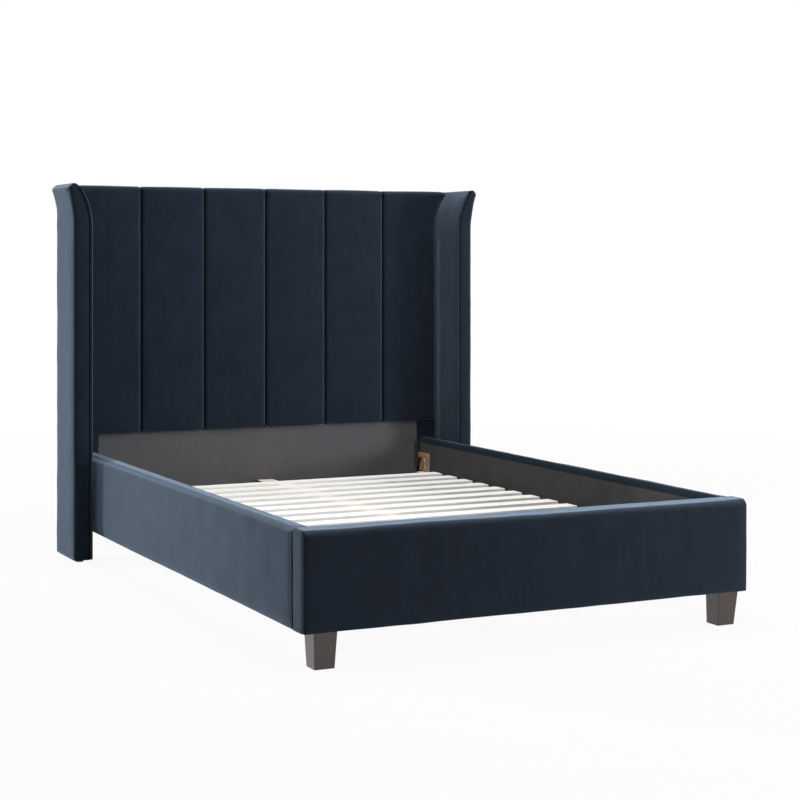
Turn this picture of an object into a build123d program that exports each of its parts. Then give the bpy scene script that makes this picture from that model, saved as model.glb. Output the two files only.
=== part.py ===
from build123d import *
import os

# A double wingback bed frame: a channelled headboard between two flared wings,
# velvet-covered rails, two block feet and a slatted base with a centre beam.
# +X is to the right of someone who looks from the foot to the head, +Y runs
# from the foot to the head and +Z is up. The origin is on the floor, in the
# middle of the bed. All lengths are in millimetres.

os.makedirs("parts", exist_ok=True)

# Driving dimensions: the mattress that the frame is made for
mattress_width = 1350.0
mattress_length = 1900.0
mattress_side_gap = 7.0
mattress_end_gap = 5.0

# Rails: a board, foam and velvet round it, and a plain lining towards the mattress
rail_bottom = 100.0
rail_height = 275.0
side_board_thickness = 26.0
side_padding = 18.0
foot_board_thickness = 45.0
foot_padding = 24.0
lining_thickness = 4.0
top_padding = 14.0
bottom_wrap = 3.0
velvet_turn_down = 23.0
rail_outer_radius = 13.0
rail_inner_radius = 7.0
rail_under_radius = 4.0
foot_corner_radius = 17.0
foot_back_radius = 14.0
foot_top_radius = 12.0
rail_end_gap = 3.0

# Headboard: pad, board, timber frame and back cloth
headboard_height = 1363.0
headboard_lift = 8.6
pad_lift = 63.0
pad_thickness = 22.0
pad_cap = 12.0
pad_top_radius = 21.0
pad_back_radius = 10.0
pad_under_radius = 7.0
pad_side_clearance = 0.5
seam_pitch = 251.0
channel_depth = 7.0
channel_count = 6
board_thickness = 4.0
frame_thickness = 20.0
back_cloth_thickness = 2.0
back_cloth_margin = 6.0
stile_width = 90.0
frame_rail_height = 70.0
low_rail_lift = 50.0
low_rail_height = 100.0
upright_width = 60.0
panel_lift = 10.0
panel_thickness = 13.0
panel_inset = 10.0
panel_clearance = 0.4

# Wings: a shaped core with a padded velvet cover, piped on the inner front edge
wing_side_gap = 25.0
wing_thickness = 64.5
wing_projection = 180.0
wing_rise = 3.0
wing_padding = 10.0
wing_back_cover = 3.0
flare_height = 155.0
flare_reach = 25.0
wing_tip_shoulder = 20.0
wing_tip_slope = 13.0
wing_tip_inner_reach = 45.0
wing_tip_peak_reach = 68.0
wing_front_radius = 20.0
piping_radius = 4.0
piping_inset = 2.0
piping_groove_clearance = 0.2
glide_radius = 15.0
wing_glide_shares = (0.2, 0.8)
wing_bolt_height_shares = (0.25, 0.58, 0.84)

# Slats, the ledges that carry them and the centre beam
slat_count = 15
slat_width = 65.0
slat_thickness = 11.0
slat_lift = 148.0
slat_end_gap = 10.0
slat_corner_radius = 5.0
first_slat_offset = 171.0
last_slat_offset = 68.0
ledge_width = 28.0
ledge_height = 30.0
ledge_edge = 3.0
ledge_head_gap = 30.0
beam_width = 66.0
beam_height = 32.0
beam_end_gap = 4.0
beam_edge = 3.0
cradle_thickness = 2.5
cradle_side_clearance = 0.5
cradle_reach = 42.0
cradle_plate_height = 64.0
centre_leg_size = 38.0
centre_leg_edge = 3.0
centre_leg_shares = (0.33, 0.69)

# Levelling feet under the centre legs
leveller_gap = 20.0
leveller_radius = 19.0
leveller_rim = 4.0
leveller_dome = 11.0
leveller_neck_radius = 7.0
leveller_edge = 0.8
stem_radius = 4.0
stem_length = 34.0
stem_clearance = 0.1

# Block feet under the foot rail
foot_top_width = 70.0
foot_top_depth = 66.0
foot_outer_taper = 7.0
foot_inner_taper = 3.0
foot_front_taper = 11.0
foot_side_inset = 31.5
foot_front_inset = 3.0
foot_edge_radius = 3.0

# Corner hardware
hook_thickness = 4.0
hook_plate_width = 83.0
hook_plate_lift = 140.0
hook_plate_height = 72.0
hook_plate_setback = 1.0
hook_arm_height = 20.0
hook_finger_length = 18.0
hook_finger_thickness = 7.0
hook_throat_width = 25.0
hook_corner_radius = 6.0
hook_throat_clearance = 0.3
keeper_thickness = 2.5
keeper_width = 40.0
keeper_slot_clearance = 1.5
keeper_slot_lift = 24.0
keeper_edge = 18.0
keeper_corner_radius = 5.0
corner_leg = 45.0
corner_thickness = 3.0
corner_lift = 10.0
corner_height = 90.0
corner_bend_radius = 4.0
corner_hole_offset = 26.0
corner_hole_shares = (0.25, 0.75)
hook_hole_shares = (0.25, 0.6)

# Bolts, and the screw holes of the small plates
bolt_radius = 4.0
bolt_clearance = 0.2
bolt_head_radius = 7.5
bolt_head_height = 4.0
bracket_bolt_length = 26.0
wing_bolt_grip = 30.0
hanger_bolt_length = 66.0
screw_radius = 2.0

cut_overrun = 2.0

# Places along the bed, from the foot to the head
inner_length = mattress_length + mattress_end_gap
foot_rail_thickness = foot_padding + foot_board_thickness + lining_thickness
headboard_thickness = pad_thickness + board_thickness + frame_thickness + back_cloth_thickness
overall_length = foot_rail_thickness + inner_length + headboard_thickness
foot_front = -overall_length / 2
foot_back = foot_front + foot_rail_thickness
foot_board_front = foot_front + foot_padding
foot_lining_front = foot_back - lining_thickness
head_front = foot_back + inner_length
board_front = head_front + pad_thickness
frame_front = board_front + board_thickness
frame_back = frame_front + frame_thickness
head_back = overall_length / 2
panel_front = board_front - panel_thickness
rail_head_end = panel_front - rail_end_gap
wing_front = head_front - wing_projection
wing_depth = head_back - wing_front

# Places across the bed, on the right-hand side
inner_half_width = mattress_width / 2 + mattress_side_gap
side_board_inner = inner_half_width + lining_thickness
side_board_outer = side_board_inner + side_board_thickness
outer_half_width = side_board_outer + side_padding
headboard_half_width = outer_half_width + wing_side_gap
wing_outer_half_width = headboard_half_width + wing_thickness
stile_inner = headboard_half_width - stile_width
panel_half_width = inner_half_width - panel_inset

# Heights above the floor
rail_top = rail_bottom + rail_height
board_bottom = rail_bottom + bottom_wrap
board_top = rail_top - top_padding
lining_top = rail_top - velvet_turn_down
slat_top = rail_bottom + slat_lift
slat_bottom = slat_top - slat_thickness
beam_bottom = slat_bottom - beam_height
pad_bottom = rail_top + pad_lift
panel_bottom = rail_bottom + panel_lift
low_rail_bottom = rail_bottom + low_rail_lift
hook_plate_bottom = rail_bottom + hook_plate_lift
hook_plate_top = hook_plate_bottom + hook_plate_height
corner_bottom = rail_bottom + corner_lift
frame_top = headboard_height - pad_cap
wing_height = headboard_height + wing_rise
flare_start = wing_height - flare_height


def rectangle(low, high, mode=Mode.ADD):
    """A rectangle between two corners of the sketch."""
    with Locations(((low[0] + high[0]) / 2, (low[1] + high[1]) / 2)):
        Rectangle(high[0] - low[0], high[1] - low[1], mode=mode)


def block(low, high, mode=Mode.ADD):
    """A straight-sided block between two opposite corners."""
    with Locations(tuple((a + b) / 2 for a, b in zip(low, high))):
        Box(*(b - a for a, b in zip(low, high)), mode=mode)


def rod(point, direction, radius, length, mode=Mode.ADD):
    """A round bar that starts at a point and runs along a direction."""
    with Locations(Plane(origin=point, z_dir=direction)):
        Cylinder(radius, length, align=(Align.CENTER, Align.CENTER, Align.MIN), mode=mode)


def bolt(point, direction, length):
    """A bolt whose hexagon head sits on the side that it is driven from."""
    rod(point, direction, bolt_radius, length)
    with BuildSketch(Plane(origin=point, z_dir=direction)) as head:
        RegularPolygon(bolt_head_radius, side_count=6)
    extrude(head.sketch, amount=-bolt_head_height)


def bore(point, direction, radius, depth):
    """A round hole that starts at a point and runs along a direction."""
    rod(point, direction, radius, depth, mode=Mode.SUBTRACT)


# Bolt places on the right-hand side: a point on the bracket's inner face and a direction
foot_bracket_bolts = []
for share in corner_hole_shares:
    bolt_height = corner_bottom + share * corner_height
    side_point = (inner_half_width - corner_thickness, foot_back + corner_hole_offset, bolt_height)
    end_point = (inner_half_width - corner_hole_offset, foot_back + corner_thickness, bolt_height)
    foot_bracket_bolts.append((side_point, (1, 0, 0)))
    foot_bracket_bolts.append((end_point, (0, -1, 0)))

hook_bolts = []
hook_plate_middle = rail_head_end - hook_plate_setback - hook_plate_width / 2
for share in hook_hole_shares:
    bolt_height = hook_plate_bottom + share * hook_plate_height
    hook_bolts.append(((inner_half_width - hook_thickness, hook_plate_middle, bolt_height), (1, 0, 0)))

wing_bolt_heights = [share * frame_top for share in wing_bolt_height_shares]
wing_bolt_y = frame_front + frame_thickness / 2
wing_bolt_length = stile_width + wing_padding + wing_bolt_grip

foot_outer = outer_half_width - foot_side_inset
foot_centre_x = foot_outer - foot_top_width / 2
foot_bolt_y = foot_board_front + foot_board_thickness / 2
bolt_hole_radius = bolt_radius + bolt_clearance


def drill(places):
    """Clearance holes through a piece for bolts in the given places."""
    for point, direction in places:
        bore(point, direction, bolt_hole_radius, bracket_bolt_length + bolt_clearance)


def mirrored(places):
    """The same bolt places on the left-hand side."""
    return [((-p[0], p[1], p[2]), (-d[0], d[1], d[2])) for p, d in places]


# Side rails: a board from the foot rail to the headboard
side_bolts = foot_bracket_bolts + hook_bolts

with BuildPart() as right_rail_board:
    block((side_board_inner, foot_back, board_bottom), (side_board_outer, rail_head_end, board_top))
    drill(side_bolts)
right_rail_board.part.label = "right_rail_board"
export_step(right_rail_board.part, "parts/right_rail_board.step")

with BuildPart() as left_rail_board:
    mirror(right_rail_board.part, about=Plane.YZ)
left_rail_board.part.label = "left_rail_board"
export_step(left_rail_board.part, "parts/left_rail_board.step")

# Foam and velvet round the side board, turned down a little way inside the rail
with BuildPart() as right_rail_cover:
    with BuildSketch(Plane.XZ.offset(-foot_back)) as rail_section:
        rectangle((inner_half_width, rail_bottom), (outer_half_width, rail_top))
        corners = rail_section.vertices().group_by(Axis.Y)
        fillet(corners[-1].sort_by(Axis.X)[-1], radius=rail_outer_radius)
        top_inner = rail_section.vertices().sort_by(Axis.X)[:2].sort_by(Axis.Y)[-1]
        fillet(top_inner, radius=rail_inner_radius)
        bottom_outer = rail_section.vertices().group_by(Axis.Y)[0].sort_by(Axis.X)[-1]
        fillet(bottom_outer, radius=rail_under_radius)
        rectangle((side_board_inner, board_bottom), (side_board_outer, board_top), mode=Mode.SUBTRACT)
        rectangle((inner_half_width, board_bottom), (side_board_inner, lining_top), mode=Mode.SUBTRACT)
    extrude(amount=-(rail_head_end - foot_back))
right_rail_cover.part.label = "right_rail_cover"
export_step(right_rail_cover.part, "parts/right_rail_cover.step")

with BuildPart() as left_rail_cover:
    mirror(right_rail_cover.part, about=Plane.YZ)
left_rail_cover.part.label = "left_rail_cover"
export_step(left_rail_cover.part, "parts/left_rail_cover.step")

# The plain lining closes the inner side below the turned-down velvet
with BuildPart() as right_rail_lining:
    block((inner_half_width, foot_back, board_bottom), (side_board_inner, rail_head_end, lining_top))
    drill(side_bolts)
right_rail_lining.part.label = "right_rail_lining"
export_step(right_rail_lining.part, "parts/right_rail_lining.step")

with BuildPart() as left_rail_lining:
    mirror(right_rail_lining.part, about=Plane.YZ)
left_rail_lining.part.label = "left_rail_lining"
export_step(left_rail_lining.part, "parts/left_rail_lining.step")

# Foot rail: a thicker board with the velvet wrapped round both ends
foot_bolt_places = []
for side in (-1, 1):
    foot_bolt_places.append((side * foot_centre_x, foot_bolt_y, rail_bottom))
all_foot_bracket_bolts = foot_bracket_bolts + mirrored(foot_bracket_bolts)

with BuildPart() as foot_rail_board:
    block(
        (-side_board_outer, foot_board_front, board_bottom),
        (side_board_outer, foot_lining_front, board_top),
    )
    drill(all_foot_bracket_bolts)
    for point in foot_bolt_places:
        bore(point, (0, 0, 1), bolt_hole_radius, hanger_bolt_length / 2 + bolt_clearance)
foot_rail_board.part.label = "foot_rail_board"
export_step(foot_rail_board.part, "parts/foot_rail_board.step")

with BuildPart() as foot_rail_cover:
    with BuildSketch(Plane.XY.offset(rail_bottom)) as rail_plan:
        rectangle((-outer_half_width, foot_front), (outer_half_width, foot_back))
        fillet(rail_plan.vertices().group_by(Axis.Y)[0], radius=foot_corner_radius)
        fillet(rail_plan.vertices().group_by(Axis.Y)[-1], radius=foot_back_radius)
    extrude(amount=rail_height)
    fillet(foot_rail_cover.faces().sort_by(Axis.Z)[-1].edges(), radius=foot_top_radius)
    block(
        (-side_board_outer, foot_board_front, board_bottom),
        (side_board_outer, foot_lining_front, board_top),
        mode=Mode.SUBTRACT,
    )
    block(
        (-inner_half_width, foot_lining_front, board_bottom),
        (inner_half_width, foot_back + cut_overrun, lining_top),
        mode=Mode.SUBTRACT,
    )
    for point in foot_bolt_places:
        bore(point, (0, 0, 1), bolt_hole_radius, hanger_bolt_length / 2)
foot_rail_cover.part.label = "foot_rail_cover"
export_step(foot_rail_cover.part, "parts/foot_rail_cover.step")

with BuildPart() as foot_rail_lining:
    block((-inner_half_width, foot_lining_front, board_bottom), (inner_half_width, foot_back, lining_top))
    drill(all_foot_bracket_bolts)
foot_rail_lining.part.label = "foot_rail_lining"
export_step(foot_rail_lining.part, "parts/foot_rail_lining.step")

# Ledges that carry the slats, fixed along the inside of the side rails under the
# hook plates
ledge_head_end = rail_head_end - ledge_head_gap

with BuildPart() as right_slat_ledge:
    block(
        (inner_half_width - ledge_width, foot_back, slat_bottom - ledge_height),
        (inner_half_width, ledge_head_end, slat_bottom),
    )
    ledge_edges = right_slat_ledge.edges().filter_by(Axis.Y).group_by(Axis.X)[0]
    chamfer(ledge_edges, length=ledge_edge)
right_slat_ledge.part.label = "right_slat_ledge"
export_step(right_slat_ledge.part, "parts/right_slat_ledge.step")

with BuildPart() as left_slat_ledge:
    mirror(right_slat_ledge.part, about=Plane.YZ)
left_slat_ledge.part.label = "left_slat_ledge"
export_step(left_slat_ledge.part, "parts/left_slat_ledge.step")

# Slats: flat softwood boards with rounded corners, evenly spaced from the head
slat_half_length = inner_half_width - slat_end_gap
slat_pitch = (inner_length - first_slat_offset - last_slat_offset) / (slat_count - 1)
for index in range(slat_count):
    slat_y = head_front - first_slat_offset - index * slat_pitch
    with BuildPart() as slat:
        with BuildSketch(Plane.XY.offset(slat_bottom)) as slat_plan:
            rectangle(
                (-slat_half_length, slat_y - slat_width / 2),
                (slat_half_length, slat_y + slat_width / 2),
            )
            fillet(slat_plan.vertices(), radius=slat_corner_radius)
        extrude(amount=slat_thickness)
    slat.part.label = f"slat_{index + 1:02d}"
    export_step(slat.part, f"parts/slat_{index + 1:02d}.step")

# Centre beam under the middle of the slats, carried in a cradle at each end
beam_foot_end = foot_back + beam_end_gap
beam_head_end = panel_front - beam_end_gap

with BuildPart() as centre_beam:
    block((-beam_width / 2, beam_foot_end, beam_bottom), (beam_width / 2, beam_head_end, slat_bottom))
    chamfer(centre_beam.edges().filter_by(Axis.Y).group_by(Axis.Z)[0], length=beam_edge)
centre_beam.part.label = "centre_beam"
export_step(centre_beam.part, "parts/centre_beam.step")

cradle_half_width = beam_width / 2 + cradle_side_clearance
cradle_plate_bottom = slat_bottom - cradle_plate_height
cradle_screws = []
for side in (-1, 1):
    screw_height = (cradle_plate_bottom + beam_bottom - cradle_thickness) / 2
    cradle_screws.append((side * cradle_half_width / 2, screw_height))


def cradle(wall, inward):
    """A steel cradle: a plate on the wall, a shelf under the beam and two cheeks."""
    plate_end = wall + inward * cradle_thickness
    shelf_end = wall + inward * cradle_reach
    low_y, high_y = sorted((wall, plate_end))
    outside = cradle_half_width + cradle_thickness
    block((-outside, low_y, cradle_plate_bottom), (outside, high_y, slat_bottom))
    low_y, high_y = sorted((wall, shelf_end))
    block((-outside, low_y, beam_bottom - cradle_thickness), (outside, high_y, beam_bottom))
    for side in (-1, 1):
        low_x, high_x = sorted((side * cradle_half_width, side * outside))
        block((low_x, low_y, beam_bottom), (high_x, high_y, slat_bottom))
    for screw_x, screw_z in cradle_screws:
        start = (screw_x, plate_end, screw_z)
        bore(start, (0, -inward, 0), screw_radius + bolt_clearance, cradle_thickness)


with BuildPart() as beam_cradles:
    cradle(foot_back, 1)
    cradle(panel_front, -1)
beam_cradles.part.label = "beam_cradles"
export_step(beam_cradles.part, "parts/beam_cradles.step")

# Centre legs and their levelling feet, which screw in and out on a threaded stem
leg_places = [foot_back + share * inner_length for share in centre_leg_shares]
leg_names = ("front_centre_leg", "rear_centre_leg")
leveller_names = ("front_levelling_foot", "rear_levelling_foot")
stem_hole_radius = stem_radius + stem_clearance
stem_top = leveller_dome + stem_length

for leg_y, leg_name, leveller_name in zip(leg_places, leg_names, leveller_names):
    with BuildPart() as centre_leg:
        half = centre_leg_size / 2
        block((-half, leg_y - half, leveller_gap), (half, leg_y + half, beam_bottom))
        chamfer(centre_leg.edges().filter_by(Axis.Z), length=centre_leg_edge)
        bore((0, leg_y, leveller_gap), (0, 0, 1), stem_hole_radius, stem_length + leveller_gap)
    centre_leg.part.label = leg_name
    export_step(centre_leg.part, f"parts/{leg_name}.step")

    with BuildPart() as levelling_foot:
        with BuildSketch(Plane(origin=(0, leg_y, 0), x_dir=(1, 0, 0), z_dir=(0, -1, 0))):
            with BuildLine():
                Polyline(
                    (0, 0),
                    (leveller_radius - leveller_edge, 0),
                    (leveller_radius, leveller_edge),
                    (leveller_radius, leveller_rim),
                    (leveller_neck_radius, leveller_dome),
                    (stem_radius, leveller_dome),
                    (stem_radius, stem_top - leveller_edge),
                    (stem_radius - leveller_edge, stem_top),
                    (0, stem_top),
                    close=True,
                )
            make_face()
        revolve(axis=Axis((0, leg_y, 0), (0, 0, 1)))
    levelling_foot.part.label = leveller_name
    export_step(levelling_foot.part, f"parts/{leveller_name}.step")

# Block feet: the sides and the front taper in towards the floor
foot_inner = foot_outer - foot_top_width
foot_top_front = foot_front + foot_front_inset
foot_top_back = foot_top_front + foot_top_depth

with BuildPart() as right_foot:
    with BuildSketch(Plane.XY) as foot_bottom:
        rectangle(
            (foot_inner + foot_inner_taper, foot_top_front + foot_front_taper),
            (foot_outer - foot_outer_taper, foot_top_back),
        )
        fillet(foot_bottom.vertices(), radius=foot_edge_radius)
    with BuildSketch(Plane.XY.offset(rail_bottom)) as foot_top:
        rectangle((foot_inner, foot_top_front), (foot_outer, foot_top_back))
        fillet(foot_top.vertices(), radius=foot_edge_radius)
    loft(ruled=True)
    bolt_bottom = rail_bottom - hanger_bolt_length / 2 - bolt_clearance
    bore((foot_centre_x, foot_bolt_y, bolt_bottom), (0, 0, 1), bolt_hole_radius, hanger_bolt_length)
right_foot.part.label = "right_foot"
export_step(right_foot.part, "parts/right_foot.step")

with BuildPart() as left_foot:
    mirror(right_foot.part, about=Plane.YZ)
left_foot.part.label = "left_foot"
export_step(left_foot.part, "parts/left_foot.step")

# Headboard frame: two stiles that the wings are bolted to, three rails and an
# upright. It ends above the floor, where the side rails hide its lower edge.
with BuildPart() as headboard_right_stile:
    block(
        (stile_inner, frame_front, panel_bottom),
        (headboard_half_width, frame_back, frame_top),
    )
    for height in wing_bolt_heights:
        bore((stile_inner, wing_bolt_y, height), (1, 0, 0), bolt_hole_radius, stile_width)
headboard_right_stile.part.label = "headboard_right_stile"
export_step(headboard_right_stile.part, "parts/headboard_right_stile.step")

with BuildPart() as headboard_left_stile:
    mirror(headboard_right_stile.part, about=Plane.YZ)
headboard_left_stile.part.label = "headboard_left_stile"
export_step(headboard_left_stile.part, "parts/headboard_left_stile.step")

top_rail_bottom = frame_top - frame_rail_height
middle_rail_bottom = pad_bottom - frame_rail_height / 2
middle_rail_top = middle_rail_bottom + frame_rail_height

with BuildPart() as headboard_top_rail:
    block((-stile_inner, frame_front, top_rail_bottom), (stile_inner, frame_back, frame_top))
headboard_top_rail.part.label = "headboard_top_rail"
export_step(headboard_top_rail.part, "parts/headboard_top_rail.step")

with BuildPart() as headboard_middle_rail:
    block((-stile_inner, frame_front, middle_rail_bottom), (stile_inner, frame_back, middle_rail_top))
headboard_middle_rail.part.label = "headboard_middle_rail"
export_step(headboard_middle_rail.part, "parts/headboard_middle_rail.step")

with BuildPart() as headboard_low_rail:
    block(
        (-stile_inner, frame_front, low_rail_bottom),
        (stile_inner, frame_back, low_rail_bottom + low_rail_height),
    )
headboard_low_rail.part.label = "headboard_low_rail"
export_step(headboard_low_rail.part, "parts/headboard_low_rail.step")

with BuildPart() as headboard_upright:
    block(
        (-upright_width / 2, frame_front, middle_rail_top),
        (upright_width / 2, frame_back, top_rail_bottom),
    )
headboard_upright.part.label = "headboard_upright"
export_step(headboard_upright.part, "parts/headboard_upright.step")

# Wings and headboard share one line: straight, then flared outwards in an arc
tip_outer = (wing_outer_half_width + flare_reach, wing_height - wing_tip_shoulder)
tip_peak = (headboard_half_width + wing_tip_peak_reach, wing_height)
tip_inner = (headboard_half_width + wing_tip_inner_reach, wing_height - wing_tip_slope)


def headboard_outline(bottom, top, clearance):
    """The headboard seen from the foot, widening with the flare of the wings."""
    side = headboard_half_width - clearance
    flare_end = (tip_inner[0] - clearance, tip_inner[1])
    with BuildLine() as outline:
        Line((-side, bottom), (side, bottom))
        Line((side, bottom), (side, flare_start))
        TangentArc((side, flare_start), flare_end, tangent=(0, 1))
        Line(flare_end, (flare_end[0], top))
        Line((flare_end[0], top), (-flare_end[0], top))
        Line((-flare_end[0], top), (-flare_end[0], flare_end[1]))
        TangentArc((-side, flare_start), (-flare_end[0], flare_end[1]), tangent=(0, 1))
        Line((-side, flare_start), (-side, bottom))
    return outline.edges()


# The board that the padding is glued to, over the whole front of the frame
keeper_slot_half_width = hook_thickness / 2 + keeper_slot_clearance
hook_centre_x = inner_half_width - hook_thickness / 2
hook_seat = hook_plate_top - hook_arm_height
finger_bottom = hook_seat - hook_finger_length
slot_top = hook_plate_top + keeper_slot_lift

with BuildPart() as headboard_board:
    with BuildSketch(Plane.XZ.offset(-frame_front)):
        make_face(headboard_outline(panel_bottom, headboard_height, pad_side_clearance))
        rectangle((-tip_inner[0], frame_top), (tip_inner[0], headboard_height), mode=Mode.SUBTRACT)
    extrude(amount=board_thickness)
headboard_board.part.label = "headboard_board"
export_step(headboard_board.part, "parts/headboard_board.step")

# Channelled pad: upright foam channels, each crowned between two sewn seams,
# rolled over the top of the frame to its back
pad_half_width = tip_inner[0]
seam_count = channel_count - 1
seams = [(index - (seam_count - 1) / 2) * seam_pitch for index in range(seam_count)]
valleys = [-pad_half_width] + seams + [pad_half_width]
valley_y = head_front + channel_depth

with BuildPart() as headboard_pad:
    with BuildSketch(Plane.XY.offset(pad_bottom)):
        with BuildLine():
            Polyline(
                (-pad_half_width, valley_y),
                (-pad_half_width, head_back),
                (pad_half_width, head_back),
                (pad_half_width, valley_y),
            )
            for left, right in zip(valleys[:channel_count], valleys[1:]):
                ThreePointArc((left, valley_y), ((left + right) / 2, head_front), (right, valley_y))
        make_face()
    extrude(amount=headboard_height - pad_bottom)
    with BuildSketch(Plane.YZ.offset(-pad_half_width)) as pad_side:
        rectangle((head_front, pad_bottom), (head_back, headboard_height))
        top_corners = pad_side.vertices().group_by(Axis.Y)[-1]
        fillet(top_corners.sort_by(Axis.X)[0], radius=pad_top_radius)
        back_corner = pad_side.vertices().sort_by(Axis.X)[-2:].sort_by(Axis.Y)[-1]
        fillet(back_corner, radius=pad_back_radius)
        front_bottom = pad_side.vertices().group_by(Axis.Y)[0].sort_by(Axis.X)[0]
        fillet(front_bottom, radius=pad_under_radius)
        rectangle(
            (board_front, pad_bottom - cut_overrun),
            (head_back + cut_overrun, frame_top),
            mode=Mode.SUBTRACT,
        )
    extrude(amount=2 * pad_half_width, mode=Mode.INTERSECT)
    with BuildSketch(Plane.XZ.offset(-head_back)):
        make_face(headboard_outline(pad_bottom, headboard_height, pad_side_clearance))
    extrude(amount=head_back - head_front, mode=Mode.INTERSECT)
headboard_pad.part.label = "headboard_pad"
export_step(headboard_pad.part, "parts/headboard_pad.step")

# Plain grey panel behind the mattress, between two velvet-covered side borders
with BuildPart() as headboard_lower_panel:
    block(
        (-panel_half_width, panel_front, panel_bottom),
        (panel_half_width, board_front, pad_bottom),
    )
headboard_lower_panel.part.label = "headboard_lower_panel"
export_step(headboard_lower_panel.part, "parts/headboard_lower_panel.step")

keeper_low_x = hook_centre_x - keeper_width / 2
keeper_high_x = hook_centre_x + keeper_width / 2
keeper_bottom = finger_bottom - keeper_edge
keeper_top = slot_top + keeper_edge
keeper_screw_x = (keeper_low_x + hook_centre_x - keeper_slot_half_width) / 2
keeper_screw_points = []
for height in (finger_bottom, slot_top):
    keeper_screw_points.append((keeper_screw_x, panel_front - keeper_thickness, height))

with BuildPart() as right_side_border:
    block(
        (panel_half_width + panel_clearance, panel_front, panel_bottom),
        (headboard_half_width, board_front, pad_bottom),
    )
    block(
        (hook_centre_x - keeper_slot_half_width, panel_front - cut_overrun, finger_bottom - bolt_clearance),
        (hook_centre_x + keeper_slot_half_width, board_front, slot_top),
        mode=Mode.SUBTRACT,
    )
right_side_border.part.label = "right_side_border"
export_step(right_side_border.part, "parts/right_side_border.step")

with BuildPart() as left_side_border:
    mirror(right_side_border.part, about=Plane.YZ)
left_side_border.part.label = "left_side_border"
export_step(left_side_border.part, "parts/left_side_border.step")

# Back cloth over the frame
with BuildPart() as headboard_back_cloth:
    block(
        (-(headboard_half_width - back_cloth_margin), frame_back, panel_bottom),
        (headboard_half_width - back_cloth_margin, head_back, frame_top - back_cloth_margin),
    )
headboard_back_cloth.part.label = "headboard_back_cloth"
export_step(headboard_back_cloth.part, "parts/headboard_back_cloth.step")

# Wings: the outline seen from the foot of the bed, up to a rounded tip


def wing_outline(bottom):
    """The closed outline of the right wing from the given height upwards."""
    with BuildLine() as outline:
        Line((headboard_half_width, bottom), (wing_outer_half_width, bottom))
        Line((wing_outer_half_width, bottom), (wing_outer_half_width, flare_start))
        TangentArc((wing_outer_half_width, flare_start), tip_outer, tangent=(0, 1))
        ThreePointArc(tip_outer, tip_peak, tip_inner)
        TangentArc((headboard_half_width, flare_start), tip_inner, tangent=(0, 1))
        Line((headboard_half_width, flare_start), (headboard_half_width, bottom))
    return outline.edges()


core_back = head_back - wing_back_cover
core_depth = wing_depth - wing_back_cover - wing_padding
wing_bolt_start = (headboard_half_width - cut_overrun, wing_bolt_y)

with BuildPart() as right_wing_core:
    with BuildSketch(Plane.XZ.offset(-core_back)):
        make_face(wing_outline(headboard_lift - wing_padding))
        offset(amount=-wing_padding, kind=Kind.INTERSECTION)
    extrude(amount=core_depth)
    for height in wing_bolt_heights:
        start = (*wing_bolt_start, height)
        hole_depth = cut_overrun + wing_padding + wing_bolt_grip + bolt_clearance
        bore(start, (1, 0, 0), bolt_hole_radius, hole_depth)
right_wing_core.part.label = "right_wing_core"
export_step(right_wing_core.part, "parts/right_wing_core.step")

with BuildPart() as left_wing_core:
    mirror(right_wing_core.part, about=Plane.YZ)
left_wing_core.part.label = "left_wing_core"
export_step(left_wing_core.part, "parts/left_wing_core.step")

# Piping: a covered cord along the inner front edge, up and over the flare


def piping_cord(radius, mode):
    """A round cord of the given radius along the wing's inner front edge."""
    with BuildLine() as edge:
        Line((headboard_half_width, headboard_lift), (headboard_half_width, flare_start))
        TangentArc((headboard_half_width, flare_start), tip_inner, tangent=(0, 1))
    with BuildSketch(Plane.XY.offset(headboard_lift)) as section:
        with Locations((headboard_half_width + piping_inset, wing_front)):
            Circle(radius)
    path = Plane.XZ.offset(-wing_front) * edge.line
    sweep(section.sketch, path=path, mode=mode)


with BuildPart() as right_wing_piping:
    piping_cord(piping_radius, Mode.ADD)
right_wing_piping.part.label = "right_wing_piping"
export_step(right_wing_piping.part, "parts/right_wing_piping.step")

with BuildPart() as left_wing_piping:
    mirror(right_wing_piping.part, about=Plane.YZ)
left_wing_piping.part.label = "left_wing_piping"
export_step(left_wing_piping.part, "parts/left_wing_piping.step")

# Padded velvet cover round the core, open at the bottom
with BuildPart() as right_wing_cover:
    with BuildSketch(Plane.XZ.offset(-head_back)):
        make_face(wing_outline(headboard_lift))
    extrude(amount=wing_depth)
    front_edges = right_wing_cover.faces().sort_by(Axis.Y)[0].edges()
    fillet(front_edges.filter_by(GeomType.LINE).sort_by(Axis.X)[-1], radius=wing_front_radius)
    with BuildSketch(Plane.XZ.offset(-core_back)):
        make_face(wing_outline(headboard_lift - wing_padding))
        offset(amount=-wing_padding, kind=Kind.INTERSECTION)
    extrude(amount=core_depth, mode=Mode.SUBTRACT)
    piping_cord(piping_radius + piping_groove_clearance, Mode.SUBTRACT)
    for height in wing_bolt_heights:
        start = (*wing_bolt_start, height)
        bore(start, (1, 0, 0), bolt_hole_radius, cut_overrun + wing_padding + cut_overrun)
right_wing_cover.part.label = "right_wing_cover"
export_step(right_wing_cover.part, "parts/right_wing_cover.step")

with BuildPart() as left_wing_cover:
    mirror(right_wing_cover.part, about=Plane.YZ)
left_wing_cover.part.label = "left_wing_cover"
export_step(left_wing_cover.part, "parts/left_wing_cover.step")

# Bolts from the stiles into the wing cores
with BuildPart() as wing_bolts:
    for side in (-1, 1):
        for height in wing_bolt_heights:
            start = (side * stile_inner, wing_bolt_y, height)
            bolt(start, (side, 0, 0), wing_bolt_length)
wing_bolts.part.label = "wing_bolts"
export_step(wing_bolts.part, "parts/wing_bolts.step")

# Plastic glides under the wings, which carry the headboard
wing_middle = (headboard_half_width + wing_outer_half_width) / 2

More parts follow.
